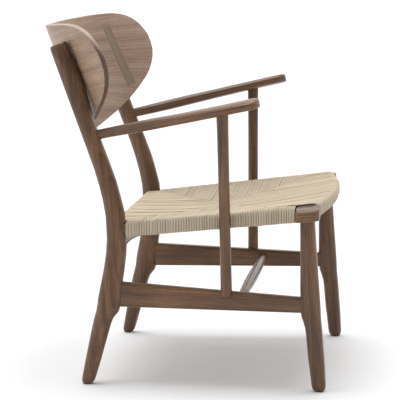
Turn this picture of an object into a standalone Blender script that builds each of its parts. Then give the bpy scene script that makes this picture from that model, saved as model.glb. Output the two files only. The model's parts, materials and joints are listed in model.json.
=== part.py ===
"""Wooden lounge armchair: bent plywood back on two raking posts, flat arms, corded seat.

Metres, +Z up. The sitter faces -Y, the floor is z = 0 and x = 0 is the mirror plane.
Each sub-part is one object. The "chair" empty carries them all and centres the chair on Y.
"""

import math

import bmesh
import bpy
from mathutils import Vector
from mathutils.geometry import delaunay_2d_cdt

GAP = 0.0003
SIDES = 20
CENTRE_Y = -0.06045

# Rear posts: (height, front edge, back edge), then the mirror-plane offset and width.
REAR_STATIONS = (
    (0.016, 0.2235, 0.2515),
    (0.055, 0.2125, 0.2443),
    (0.100, 0.2005, 0.2358),
    (0.128, 0.1925, 0.2302),
    (0.142, 0.1860, 0.2275),
    (0.156, 0.1755, 0.2247),
    (0.172, 0.1722, 0.2213),
    (0.205, 0.1712, 0.2150),
    (0.232, 0.1672, 0.2100),
    (0.265, 0.1640, 0.2055),
    (0.295, 0.1630, 0.2038),
    (0.343, 0.1668, 0.2071),
    (0.376, 0.1750, 0.2136),
    (0.408, 0.1841, 0.2222),
    (0.440, 0.1958, 0.2327),
    (0.488, 0.2148, 0.2507),
    (0.530, 0.2305, 0.2668),
    (0.560, 0.2385, 0.2782),
    (0.600, 0.2503, 0.2938),
    (0.640, 0.2667, 0.3093),
    (0.680, 0.2844, 0.3243),
)
REAR_X = 0.283
REAR_LEAN = 0.060
REAR_WIDTH = 0.032
POST_POWER = 2.5

# Front legs: (height, front edge, back edge).
FRONT_STATIONS = (
    (0.016, -0.2430, -0.2138),
    (0.046, -0.2414, -0.2102),
    (0.070, -0.2396, -0.2068),
    (0.094, -0.2375, -0.2045),
    (0.118, -0.2355, -0.2022),
    (0.130, -0.2345, -0.2003),
    (0.142, -0.2334, -0.1968),
    (0.155, -0.2323, -0.1922),
    (0.170, -0.2313, -0.1904),
    (0.216, -0.2277, -0.1899),
    (0.260, -0.2242, -0.1896),
    (0.3445, -0.2182, -0.1886),
)
FRONT_X = 0.2985
FRONT_WIDTH = 0.030

# Side stretchers: plan ends, and the top and bottom edges at each end.
STRETCHER_REAR = (0.269, 0.1775)
STRETCHER_FRONT = (0.2972, -0.1950)
STRETCHER_REAR_Z = (0.1580, 0.2085)
STRETCHER_FRONT_Z = (0.1590, 0.1898)
STRETCHER_THICK = 0.020

# The turned rod between the side stretchers.
ROD_Y = -0.068
ROD_Z = 0.180
ROD_HALF = 0.2786
ROD_END_R = 0.0064
ROD_MID_R = 0.0114

# Seat frame. Rail heights follow one tilted plane.
RAIL_Z0 = 0.3360
RAIL_SLOPE = -0.1140
RAIL_HALF_W = 0.0120
RAIL_HALF_H = 0.0108
SIDE_RAIL_DROP = 0.0024
SIDE_RAIL_HALF_H = 0.0124
SIDE_RAIL_REAR = (0.2632, 0.1700)
SIDE_RAIL_FRONT = (0.2960, -0.1985)
REAR_RAIL_Y = 0.1840
REAR_RAIL_HALF_D = 0.0080
REAR_RAIL_HALF_X = 0.2495
FRONT_RAIL_Y = -0.2335
FRONT_RAIL_END = (0.2790, -0.2075)
HEAD_CENTRE = (0.2975, -0.2030, 0.3560)
HEAD_HALF = (0.0215, 0.0252)

# Cord seat skin over the rails.
CORD = 0.0034
SEAT_SAG = 0.0140
SEAT_DISH_POWER = 2.0
SEAT_CENTRE_THICK = 0.0130

# Arched rail below the seat, between the rear posts.
ARCH_HALF_X = 0.2545
ARCH_THICK = 0.018
ARCH_TENON = 0.0095
ARCH_Y = 0.2050
ARCH_BOW = 0.25

# Arms: (y, offset from the mirror plane, half width, half thickness).
ARM_STATIONS = (
    (0.2265, 0.2515, 0.0118, 0.0098),
    (0.2050, 0.2530, 0.0122, 0.0100),
    (0.1700, 0.2640, 0.0150, 0.0106),
    (0.1200, 0.2830, 0.0186, 0.0110),
    (0.0600, 0.3050, 0.0216, 0.0105),
    (0.0000, 0.3230, 0.0238, 0.0102),
    (-0.0360, 0.3315, 0.0250, 0.0100),
    (-0.0700, 0.3365, 0.0252, 0.0100),
    (-0.0850, 0.3378, 0.0246, 0.0099),
)
ARM_TIP_Y = -0.1105
ARM_Z0 = 0.5553
ARM_SLOPE = -0.2290
ARM_ROLL = math.radians(7.0)

# Arm posts.
ARM_POST_TOP = (0.3325, -0.0362, 0.5560)
ARM_POST_FOOT = (0.2945, -0.0424, 0.1840)
ARM_POST_R = (0.0112, 0.0116)

# Back shell: local plane (t up the back, n towards the sitter) and its curve n(x).
SHELL_TILT = math.radians(20.3)
SHELL_N0 = -0.0885
SHELL_N2 = 1.3415
SHELL_N4 = -0.8227
SHELL_THICK = 0.0120
SHELL_OUTLINE = (
    (0.000, 0.7970),
    (0.072, 0.7965),
    (0.131, 0.7935),
    (0.183, 0.7890),
    (0.220, 0.7840),
    (0.254, 0.7775),
    (0.282, 0.7670),
    (0.303, 0.7520),
    (0.318, 0.7310),
    (0.327, 0.7070),
    (0.3285, 0.6880),
    (0.326, 0.6680),
    (0.315, 0.6450),
    (0.295, 0.6230),
    (0.268, 0.6060),
    (0.239, 0.5920),
    (0.208, 0.5805),
    (0.173, 0.5710),
    (0.132, 0.5635),
    (0.084, 0.5570),
    (0.040, 0.5535),
    (0.000, 0.5520),
)

# Cover strips let into the shell over the screws.
STRIP_TOP = (0.2255, 0.7470)
STRIP_FOOT = (0.2380, 0.6130)
STRIP_HALF = (0.0106, 0.0120)
STRIP_DEEP = 0.0040
LAP_DOWEL = (0.2915, -0.0424, 0.1905)
SEAT_DOWEL = (0.2960, -0.0398, 0.3405)
SCREW_T = (0.6550, 0.7150)
SCREW_LENGTH = 0.0220


def clear_scene():
    for obj in list(bpy.data.objects):
        bpy.data.objects.remove(obj, do_unlink=True)
    for data in list(bpy.data.meshes):
        bpy.data.meshes.remove(data)


def material(name, colour, roughness, metallic=0.0):
    made = bpy.data.materials.new(name)
    made.use_nodes = True
    shader = made.node_tree.nodes["Principled BSDF"]
    shader.inputs["Base Color"].default_value = (*colour, 1.0)
    shader.inputs["Roughness"].default_value = roughness
    shader.inputs["Metallic"].default_value = metallic
    return made


def smooth(stations, at):
    """Cubic through rows of (key, value, ...), keys rising, without overshoot at the ends."""
    keys = [row[0] for row in stations]
    at = min(max(at, keys[0]), keys[-1])
    i = max(k for k in range(len(keys) - 1) if keys[k] <= at)
    before = stations[max(i - 1, 0)]
    low = stations[i]
    high = stations[i + 1]
    after = stations[min(i + 2, len(keys) - 1)]
    span = high[0] - low[0]
    f = (at - low[0]) / span
    values = []
    for k in range(1, len(low)):
        rise_low = (high[k] - before[k]) / (high[0] - before[0]) * span
        rise_high = (after[k] - low[k]) / (after[0] - low[0]) * span
        values.append(
            (2 * f**3 - 3 * f**2 + 1) * low[k]
            + (f**3 - 2 * f**2 + f) * rise_low
            + (3 * f**2 - 2 * f**3) * high[k]
            + (f**3 - f**2) * rise_high
        )
    return values


def ring(centre, u, v, half_u, half_v, power=2.0, sides=SIDES):
    """Points of one superellipse round `centre`, from axis u towards axis v."""
    points = []
    for k in range(sides):
        angle = 2 * math.pi * (k + 0.5) / sides
        c = math.cos(angle)
        s = math.sin(angle)
        pu = half_u * math.copysign(abs(c) ** (2 / power), c)
        pv = half_v * math.copysign(abs(s) ** (2 / power), s)
        points.append(Vector(centre) + Vector(u) * pu + Vector(v) * pv)
    return points


def turned(points, side):
    return [Vector((p.x * side, p.y, p.z)) for p in points]


def add_object(name, mesh, slot, hidden):
    obj = bpy.data.objects.new(name, mesh)
    if hidden:
        cutters.objects.link(obj)
        obj.hide_render = True
        obj.display_type = "WIRE"
    else:
        armchair.objects.link(obj)
        mesh.materials.append(slot)
    obj.parent = chair
    return obj


def finish_mesh(name, bm, slot, hidden):
    bmesh.ops.recalc_face_normals(bm, faces=bm.faces)
    mesh = bpy.data.meshes.new(name)
    bm.to_mesh(mesh)
    bm.free()
    for face in mesh.polygons:
        face.use_smooth = True
    return add_object(name, mesh, slot, hidden)


def loft(name, rings, slot=None, side=1, hidden=False):
    """A closed body through rings of equal count, with a flat cap at each end."""
    bm = bmesh.new()
    rows = [[bm.verts.new(p) for p in turned(points, side)] for points in rings]
    count = len(rows[0])
    for low, high in zip(rows, rows[1:]):
        for k in range(count):
            n = (k + 1) % count
            bm.faces.new((low[k], low[n], high[n], high[k]))
    bm.faces.new(rows[0])
    bm.faces.new(list(reversed(rows[-1])))
    return finish_mesh(name, bm, slot, hidden)


def cut(target, cutter):
    modifier = target.modifiers.new("cut_" + cutter.name, "BOOLEAN")
    modifier.operation = "DIFFERENCE"
    modifier.solver = "EXACT"
    modifier.object = cutter


def join(target, other):
    modifier = target.modifiers.new("join_" + other.name, "BOOLEAN")
    modifier.operation = "UNION"
    modifier.solver = "EXACT"
    modifier.object = other


def round_bar(start, end, radii, grow=0.0, sides=SIDES, tenon=0):
    """Rings of a straight turned bar. `radii` is (fraction along, radius)."""
    start = Vector(start)
    end = Vector(end)
    along = (end - start).normalized()
    u = along.orthogonal().normalized()
    v = along.cross(u)
    length = (end - start).length
    last = len(radii) - 1
    rings = []
    for i, (f, radius) in enumerate(radii):
        shift = -grow if i <= tenon else grow if i >= last - tenon else 0.0
        centre = start + along * (f * length + shift)
        rings.append(ring(centre, u, v, radius + grow, radius + grow, 2.0, sides))
    return rings


# ---- posts and legs ----


def upright_rings(stations, x_of, width_of, power, grow=0.0):
    """Rings of a leg whose side profile is given by its front and back edges."""
    lowest = stations[0][0]
    highest = stations[-1][0]
    rings = []
    front, back = smooth(stations, lowest)
    above = smooth(stations, lowest + 0.02)
    yc = (front + back) / 2
    splay = (yc - (above[0] + above[1]) / 2) / 0.02
    half = (back - front) / 2
    for z, scale in ((0.0, 0.52), (0.0028, 0.76), (0.0075, 0.93)):
        centre = (x_of(z), yc + (lowest - z) * splay, z)
        half_x = width_of(z) / 2 * scale
        rings.append(ring(centre, (1, 0, 0), (0, 1, 0), half_x, half * scale, power))
    for z, front, back in stations:
        low = smooth(stations, z - 0.004)
        high = smooth(stations, z + 0.004)
        lift = min(z + 0.004, highest) - max(z - 0.004, lowest)
        lean = (high[0] + high[1] - low[0] - low[1]) / 2 / lift
        lean *= min(1.0, (z - lowest) / 0.05)
        angle = math.atan(lean)
        v = (0, math.cos(angle), -math.sin(angle))
        half = (back - front) / 2 * math.cos(angle) + grow
        centre = (x_of(z), (front + back) / 2, z)
        rings.append(ring(centre, (1, 0, 0), v, width_of(z) / 2 + grow, half, power))
    return rings


def capped(rings, depth, scales):
    """Adds shrinking rings past the last one to round its edge."""
    last = rings[-1]
    centre = sum(last, Vector()) / len(last)
    below = sum(rings[-2], Vector()) / len(last)
    along = (centre - below).normalized()
    extra = []
    for f, scale in scales:
        extra.append([centre + (p - centre) * scale + along * depth * f for p in last])
    return rings + extra


def rear_x(z):
    return REAR_X - REAR_LEAN * z


def rear_width(z):
    return REAR_WIDTH - 0.003 * max(0.0, (0.14 - z) / 0.14) - 0.002 * max(0.0, (z - 0.4) / 0.3)


def rear_rings(grow=0.0):
    rings = upright_rings(REAR_STATIONS, rear_x, rear_width, POST_POWER, grow)
    return capped(rings, 0.0060, ((0.45, 0.97), (0.8, 0.90), (1.0, 0.78)))


def front_x(z):
    return FRONT_X


def front_width(z):
    return FRONT_WIDTH - 0.002 * max(0.0, (0.12 - z) / 0.12)


def front_rings(grow=0.0):
    rings = upright_rings(FRONT_STATIONS, front_x, front_width, POST_POWER, grow)
    rings[-1] = [p + Vector((0, 0, grow)) for p in rings[-1]]
    z, front, back = FRONT_STATIONS[-1]
    yc = (front + back) / 2
    for height, radius in ((z, 0.0080), (z + 0.0140, 0.0080), (z + 0.0155, 0.0070)):
        centre = (FRONT_X, yc, height + grow)
        rings.append(ring(centre, (1, 0, 0), (0, 1, 0), radius + grow, radius + grow))
    return rings


# ---- stretchers and rails ----


def bar_rings(path, across, grow=0.0, rear_tenon=0, front_tenon=0):
    """Rings along `path`, rows of (point, half width, half height, power).

    The tenon counts say how many rings at each end lie before the shoulder. A grown copy
    moves the end, the tenon's root and the shoulder outwards alike.
    """
    rings = []
    last = len(path) - 1
    for i, (point, half_w, half_h, power) in enumerate(path):
        a = Vector(path[max(i - 1, 0)][0])
        b = Vector(path[min(i + 1, last)][0])
        along = (b - a).normalized()
        centre = Vector(point)
        if i <= rear_tenon:
            centre = centre - along * grow
        if i >= last - front_tenon:
            centre = centre + along * grow
        side = Vector(across) if across else along.cross(Vector((0, 0, 1))).normalized()
        rings.append(ring(centre, side, (0, 0, 1), half_w + grow, half_h + grow, power))
    return rings


def between(a, b, f):
    return a[0] + (b[0] - a[0]) * f, a[1] + (b[1] - a[1]) * f


def stretcher_point(f):
    x, y = between(STRETCHER_REAR, STRETCHER_FRONT, f)
    low, high = between(STRETCHER_REAR_Z, STRETCHER_FRONT_Z, f)
    return (x, y, (low + high) / 2), (high - low) / 2


def stretcher_rings(grow=0.0):
    length = STRETCHER_REAR[1] - STRETCHER_FRONT[1]
    path = []
    rear_tenon = -0.0160 / length
    front_tenon = 1 + 0.0140 / length
    for f in (rear_tenon, 0.0):
        point, half = stretcher_point(f)
        path.append((point, 0.0048, half - 0.0100, 8.0))
    for f in (0.0, 0.2, 0.4, 0.6, 0.8, 1.0):
        point, half = stretcher_point(f)
        path.append((point, STRETCHER_THICK / 2, half, 9.0))
    for f in (1.0, front_tenon):
        point, half = stretcher_point(f)
        path.append((point, 0.0048, half - 0.0065, 8.0))
    across = Vector((STRETCHER_FRONT[1] - STRETCHER_REAR[1], STRETCHER_REAR[0] - STRETCHER_FRONT[0], 0))
    return bar_rings(path, across.normalized(), grow, 2, 2)


def rod_rings(grow=0.0):
    tenon = 0.0080
    total = 2 * (ROD_HALF + tenon)
    shoulder = tenon / total
    radii = [(0.0, 0.0044), (shoulder, 0.0044)]
    steps = 12
    for i in range(steps + 1):
        f = i / steps
        bulge = math.sin(math.pi * f) ** 0.8
        radius = ROD_END_R + (ROD_MID_R - ROD_END_R) * bulge
        radii.append((shoulder + (1 - 2 * shoulder) * f, radius))
    radii += [(1 - shoulder, 0.0044), (1.0, 0.0044)]
    half = ROD_HALF + tenon
    return round_bar((-half, ROD_Y, ROD_Z), (half, ROD_Y, ROD_Z), radii, grow, 16, 2)


def rail_z(y):
    return RAIL_Z0 + RAIL_SLOPE * y


def side_rail_point(f):
    x, y = between(SIDE_RAIL_REAR, SIDE_RAIL_FRONT, f)
    return (x, y, rail_z(y) - SIDE_RAIL_DROP)


def side_rail_rings(grow=0.0):
    path = [
        (side_rail_point(-0.0225), 0.0050, 0.0070, 8.0),
        (side_rail_point(0.0), 0.0050, 0.0070, 8.0),
    ]
    for f in (0.0, 0.25, 0.5, 0.75, 0.925):
        path.append((side_rail_point(f), RAIL_HALF_W, SIDE_RAIL_HALF_H, 5.0))
    # The rail thins before it enters its head, so that it stays below the head's top.
    path.append((side_rail_point(0.945), 0.0110, 0.0084, 5.0))
    path.append((side_rail_point(1.0), 0.0105, 0.0058, 5.0))
    return bar_rings(path, None, grow, 2)


def head_rings(grow=0.0):
    cx, cy, cz = HEAD_CENTRE
    rings = []
    levels = (
        (-0.0130, 0.93, 0.0),
        (-0.0120, 0.97, 0.0),
        (-0.0085, 0.99, 0.1),
        (-0.0030, 1.00, 0.3),
        (0.0040, 1.00, 0.6),
        (0.0078, 0.99, 0.9),
        (0.0102, 0.97, 1.0),
        (0.0114, 0.93, 1.0),
        (0.0119, 0.86, 1.0),
    )
    last = len(levels) - 1
    for i, (dz, scale, tilt) in enumerate(levels):
        lift = -grow if i == 0 else grow if i == last else 0.0
        half_x = HEAD_HALF[0] * scale + grow
        half_y = HEAD_HALF[1] * scale + grow
        flat = ring((cx, cy, cz + dz + lift), (1, 0, 0), (0, 1, 0), half_x, half_y, 4.4)
        for p in flat:
            p.z += -0.21 * (p.x - cx) * tilt - 0.11 * (p.y - cy)
        rings.append(flat)
    return rings


def rear_rail_rings(grow=0.0, skin=0.0, reach=0.0):
    z = rail_z(REAR_RAIL_Y)
    half = REAR_RAIL_HALF_X
    path = []
    if skin == 0.0:
        path.append(((-half - 0.0100, REAR_RAIL_Y, z), 0.0034, 0.0065, 8.0))
        path.append(((-half, REAR_RAIL_Y, z), 0.0034, 0.0065, 8.0))
    for f in (-1.0, -0.5, 0.0, 0.5, 1.0):
        x = (half + reach) * f
        path.append(((x, REAR_RAIL_Y, z), REAR_RAIL_HALF_D + skin, RAIL_HALF_H + skin, 4.5))
    if skin == 0.0:
        path.append(((half, REAR_RAIL_Y, z), 0.0034, 0.0065, 8.0))
        path.append(((half + 0.0100, REAR_RAIL_Y, z), 0.0034, 0.0065, 8.0))
    return bar_rings(path, (0, 1, 0), grow, 2, 2)


def front_rail_y(x):
    end_x, end_y = FRONT_RAIL_END
    return FRONT_RAIL_Y + (end_y - FRONT_RAIL_Y) * (abs(x) / end_x) ** 2.2


def front_rail_rings(grow=0.0, skin=0.0):
    half, end_y = FRONT_RAIL_END
    path = []
    if skin == 0.0:
        path.append(((-half - 0.0090, end_y, rail_z(end_y)), 0.0044, 0.0065, 8.0))
        path.append(((-half, end_y, rail_z(end_y)), 0.0044, 0.0065, 8.0))
    for i in range(13):
        x = half * (i / 6 - 1)
        y = front_rail_y(x)
        path.append(((x, y, rail_z(y)), RAIL_HALF_W + skin, RAIL_HALF_H + skin, 4.0))
    if skin == 0.0:
        path.append(((half, end_y, rail_z(end_y)), 0.0044, 0.0065, 8.0))
        path.append(((half + 0.0090, end_y, rail_z(end_y)), 0.0044, 0.0065, 8.0))
    return bar_rings(path, (0, 1, 0), grow, 2, 2)


def arch_ring(x, half_y, half_z, power, grow):
    low = 0.2490 - 0.38 * x * x
    high = 0.2880 - 0.20 * x * x
    if half_z is None:
        half_z = (high - low) / 2
    shift = math.copysign(grow, x) if abs(x) >= ARCH_HALF_X else 0.0
    centre = (x + shift, ARCH_Y - ARCH_BOW * x * x, (low + high) / 2)
    return ring(centre, (0, 1, 0), (0, 0, 1), half_y + grow, half_z + grow, power)


def arch_rings(grow=0.0):
    """The arched rail along x: its bottom edge rises to the middle and it bows back."""
    half = ARCH_HALF_X
    rings = [arch_ring(-half - ARCH_TENON, 0.0040, 0.0160, 8.0, grow)]
    rings.append(arch_ring(-half, 0.0040, 0.0160, 8.0, grow))
    for i in range(13):
        rings.append(arch_ring(half * (i / 6 - 1), ARCH_THICK / 2, None, 7.0, grow))
    rings.append(arch_ring(half, 0.0040, 0.0160, 8.0, grow))
    rings.append(arch_ring(half + ARCH_TENON, 0.0040, 0.0160, 8.0, grow))
    return rings


# ---- arms ----


def arm_frame(y):
    """Centre, across and up axes of the arm at y."""
    rows = tuple(reversed([(row[0], *row[1:]) for row in ARM_STATIONS]))
    x, half_w, half_t = smooth(rows, y)
    x_before = smooth(rows, y + 0.004)[0]
    x_after = smooth(rows, y - 0.004)[0]
    along = Vector((x_after - x_before, -0.008, 0.008 * -ARM_SLOPE)).normalized()
    level = along.cross(Vector((0, 0, 1))).normalized()
    up = level.cross(along).normalized()
    across = -level
    fade = min(1.0, max(0.0, (0.20 - y) / 0.10))
    roll = ARM_ROLL * fade
    turned_across = across * math.cos(roll) - up * math.sin(roll)
    turned_up = up * math.cos(roll) + across * math.sin(roll)
    return Vector((x, y, ARM_Z0 + ARM_SLOPE * y)), turned_across, turned_up, along, half_w, half_t


def arm_rings(grow=0.0):
    rings = []
    first = ARM_STATIONS[0][0]
    last = ARM_STATIONS[-1][0]
    centre, across, up, along, half_w, half_t = arm_frame(first)
    for back in (0.0130, 0.0):
        at = centre - along * (back + grow)
        rings.append(ring(at, across, up, 0.0068 + grow, 0.0068 + grow))
    steps = 16
    for i in range(steps + 1):
        y = first + (last - first) * i / steps
        centre, across, up, along, half_w, half_t = arm_frame(y)
        if i == 0:
            centre = centre - along * grow
        rings.append(ring(centre, across, up, half_w + grow, half_t + grow, 2.7))
    reach = last - ARM_TIP_Y
    for angle in (15, 30, 45, 58, 70, 79):
        s = math.sin(math.radians(angle))
        c = math.cos(math.radians(angle))
        at = centre + along * reach * s
        thick = half_t * (1 - 0.45 * (1 - c) ** 2)
        rings.append(ring(at, across, up, half_w * c**0.9 + grow, thick + grow, 2.7))
    return rings


def arm_post_rings(grow=0.0):
    top = Vector(ARM_POST_TOP)
    foot = Vector(ARM_POST_FOOT)
    rings = []
    for dz, scale in ((0.0, 0.45), (0.0012, 0.70), (0.0040, 0.90), (0.0085, 0.99)):
        centre = foot + (top - foot) * (dz / (top.z - foot.z))
        half_x = ARM_POST_R[0] * scale + grow
        half_y = ARM_POST_R[1] * scale + grow
        rings.append(ring(centre, (1, 0, 0), (0, 1, 0), half_x, half_y, 2.2))
    steps = 10
    for i in range(1, steps + 1):
        f = 0.04 + 0.96 * i / steps
        centre = foot + (top - foot) * f
        if i == steps:
            centre.z += grow
        waist = 1.0 - 0.05 * math.sin(math.pi * f) + 0.03 * max(0.0, (f - 0.92) / 0.08)
        half_x = ARM_POST_R[0] * waist + grow
        half_y = ARM_POST_R[1] * waist + grow
        flat = ring(centre, (1, 0, 0), (0, 1, 0), half_x, half_y, 2.2)
        tilt = max(0.0, (f - 0.90) / 0.10)
        for p in flat:
            p.z += ARM_SLOPE * (p.y - centre.y) * tilt
        rings.append(flat)
    for dz in (0.0, 0.0110):
        centre = top + Vector((0, 0, dz + grow))
        rings.append(ring(centre, (1, 0, 0), (0, 1, 0), 0.0062 + grow, 0.0062 + grow))
    return rings


# ---- back shell ----


def shell_curve(x):
    return SHELL_N0 + SHELL_N2 * x * x + SHELL_N4 * x**4


def shell_point(x, t, depth):
    """A point `depth` behind the sitter's face of the shell, measured square to it."""
    slope = 2 * SHELL_N2 * x + 4 * SHELL_N4 * x**3
    size = math.sqrt(1 + slope * slope)
    across = x + depth * slope / size
    n = shell_curve(x) - depth / size
    s = math.sin(SHELL_TILT)
    c = math.cos(SHELL_TILT)
    return Vector((across, t * s - n * c, t * c + n * s))


def shell_outline(count):
    """Evenly spaced closed outline from rows of (x, t), mirrored in x."""
    right = []
    rows = [(i, x, t) for i, (x, t) in enumerate(SHELL_OUTLINE)]
    lead = (-1, -SHELL_OUTLINE[1][0], SHELL_OUTLINE[1][1])
    trail = (len(rows), -SHELL_OUTLINE[-2][0], SHELL_OUTLINE[-2][1])
    rows = [lead, *rows, trail]
    fine = 40
    for i in range((len(SHELL_OUTLINE) - 1) * fine + 1):
        x, t = smooth(rows, i / fine)
        right.append(Vector((x, t)))
    loop = right + [Vector((-p.x, p.y)) for p in reversed(right[1:-1])]
    lengths = [0.0]
    for a, b in zip(loop, loop[1:] + loop[:1]):
        lengths.append(lengths[-1] + (b - a).length)
    points = []
    j = 0
    for k in range(count):
        goal = lengths[-1] * k / count
        while lengths[j + 1] < goal:
            j += 1
        f = (goal - lengths[j]) / (lengths[j + 1] - lengths[j])
        points.append(loop[j].lerp(loop[(j + 1) % len(loop)], f))
    return points


def inset(points, distance):
    """Moves a closed clockwise loop inwards."""
    moved = []
    for k, p in enumerate(points):
        along = (points[(k + 1) % len(points)] - points[k - 1]).normalized()
        moved.append(p + Vector((along.y, -along.x)) * distance)
    return moved


def shell_sheet(name, front, back, edge, grow, slot=None, hidden=False):
    """A curved sheet between two depths with a rounded rim of radius `edge`."""
    outline = shell_outline(88)
    inner = inset(outline, edge - grow)
    points = list(inner)
    step_x = 0.020
    step_t = 0.060
    tops = [p for p in inner if p.y > 0.69]
    feet = [p for p in inner if p.y <= 0.69]
    for i in range(-15, 16):
        x = i * step_x
        high = min(tops, key=lambda p: abs(p.x - x)).y
        low = min(feet, key=lambda p: abs(p.x - x)).y
        rows = max(1, round((high - low) / step_t))
        for j in range(1, rows):
            points.append(Vector((x, low + (high - low) * j / rows)))
    border = [(k, (k + 1) % len(inner)) for k in range(len(inner))]
    found = delaunay_2d_cdt(points, border, [], 1, 1e-6)
    verts2 = found[0]
    faces = found[2]
    bm = bmesh.new()
    face_front = [bm.verts.new(shell_point(p.x, p.y, front)) for p in verts2]
    face_back = [bm.verts.new(shell_point(p.x, p.y, back)) for p in verts2]
    for a, b, c in faces:
        bm.faces.new((face_front[a], face_front[b], face_front[c]))
        bm.faces.new((face_back[c], face_back[b], face_back[a]))
    rows = [face_front[: len(inner)]]
    middle = (front + back) / 2
    reach = (back - front) / 2
    for angle in (-60, -30, 0, 30, 60):
        a = math.radians(angle)
        loop = inset(outline, edge * (1 - math.cos(a)) - grow)
        depth = middle + reach * math.sin(a)
        rows.append([bm.verts.new(shell_point(p.x, p.y, depth)) for p in loop])
    rows.append(face_back[: len(inner)])
    count = len(inner)
    for low, high in zip(rows, rows[1:]):
        for k in range(count):
            n = (k + 1) % count
            bm.faces.new((low[k], low[n], high[n], high[k]))
    return finish_mesh(name, bm, slot, hidden)


def strip_rings(front, back, grow=0.0):
    """Rings up a strip let into the shell: the section follows the shell's curve."""
    rings = []
    for i in range(7):
        f = i / 6
        t = STRIP_FOOT[1] + (STRIP_TOP[1] - STRIP_FOOT[1]) * f
        t += -grow if i == 0 else grow if i == 6 else 0.0
        x = STRIP_FOOT[0] + (STRIP_TOP[0] - STRIP_FOOT[0]) * f
        half = STRIP_HALF[1] + (STRIP_HALF[0] - STRIP_HALF[1]) * f + grow
        face = [shell_point(x + half * k / 2, t, front) for k in (-2, -1, 0, 1, 2)]
        rear = [shell_point(x + half * k / 2, t, back + grow) for k in (2, 1, 0, -1, -2)]
        rings.append(face + rear)
    return rings


def screw_line(t):
    f = (t - STRIP_FOOT[1]) / (STRIP_TOP[1] - STRIP_FOOT[1])
    x = STRIP_FOOT[0] + (STRIP_TOP[0] - STRIP_FOOT[0]) * f
    start = shell_point(x, t, STRIP_DEEP + 0.0006)
    end = shell_point(x, t, STRIP_DEEP + 0.0006 + SCREW_LENGTH)
    return start, end


def screw_rings(t, grow=0.0):
    start, end = screw_line(t)
    radii = (
        (0.0, 0.0037),
        (0.02, 0.0038),
        (0.12, 0.0019),
        (0.45, 0.0018),
        (0.47, 0.0021),
        (0.90, 0.0019),
        (1.0, 0.0006),
    )
    return round_bar(start, end, radii, grow, 12)


# ---- seat ----


def seat_panel():
    """The cord panel between the rails: a tilted slab, thinner and lower in the middle."""
    columns = 14
    rows = 12
    top = []
    low = []
    half_h = RAIL_HALF_H + CORD
    for j in range(rows + 1):
        v = j / rows
        top_row = []
        low_row = []
        for i in range(columns + 1):
            u = i / columns * 2 - 1
            y_rear = REAR_RAIL_Y
            front_x = SIDE_RAIL_FRONT[0] * u
            y_front = front_rail_y(front_x)
            y = y_rear + (y_front - y_rear) * v
            f = (SIDE_RAIL_REAR[1] - y) / (SIDE_RAIL_REAR[1] - SIDE_RAIL_FRONT[1])
            x = u * side_rail_point(f)[0]
            dish = (1 - abs(u) ** SEAT_DISH_POWER) * (1 - abs(2 * v - 1) ** SEAT_DISH_POWER)
            z = rail_z(y)
            top_row.append(Vector((x, y, z + half_h - 0.0002 - SEAT_SAG * dish)))
            thin = 2 * half_h - SEAT_SAG - SEAT_CENTRE_THICK
            low_row.append(Vector((x, y, z - half_h + 0.0002 + thin * dish)))
        top.append(top_row)
        low.append(low_row)
    bm = bmesh.new()
    top_verts = [[bm.verts.new(p) for p in row] for row in top]
    low_verts = [[bm.verts.new(p) for p in row] for row in low]
    for j in range(rows):
        for i in range(columns):
            a, b = top_verts[j], top_verts[j + 1]
            bm.faces.new((a[i], a[i + 1], b[i + 1], b[i]))
            a, b = low_verts[j], low_verts[j + 1]
            bm.faces.new((a[i], b[i], b[i + 1], a[i + 1]))
    rim_top = top_verts[0] + [row[-1] for row in top_verts[1:]]
    rim_top += list(reversed(top_verts[-1][:-1])) + [row[0] for row in reversed(top_verts[1:-1])]
    rim_low = low_verts[0] + [row[-1] for row in low_verts[1:]]
    rim_low += list(reversed(low_verts[-1][:-1])) + [row[0] for row in reversed(low_verts[1:-1])]
    for k in range(len(rim_top)):
        n = (k + 1) % len(rim_top)
        bm.faces.new((rim_top[k], rim_low[k], rim_low[n], rim_top[n]))
    return finish_mesh("woven_seat", bm, cord, False)


def side_wrap_rings():
    path = []
    for f in (0.006, 0.2, 0.45, 0.7, 0.948):
        path.append((side_rail_point(f), RAIL_HALF_W + CORD, SIDE_RAIL_HALF_H + CORD, 3.6))
    return bar_rings(path, None)


def lap_dowel_rings(grow=0.0):
    y, z = LAP_DOWEL[1:]
    start = (LAP_DOWEL[0] - 0.0125, y, z)
    end = (LAP_DOWEL[0] + 0.0125, y, z)
    return round_bar(start, end, ((0.0, 0.0024), (1.0, 0.0024)), grow, 12)


def seat_dowel_rings(grow=0.0):
    y, z = SEAT_DOWEL[1:]
    start = (SEAT_DOWEL[0] - 0.0200, y, z)
    end = (SEAT_DOWEL[0] + 0.0200, y, z)
    return round_bar(start, end, ((0.0, 0.0035), (1.0, 0.0035)), grow, 12)


# ---- assembly ----


def cutter(name, rings, side=1):
    return loft("cutter_" + name, rings, None, side, True)


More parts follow.
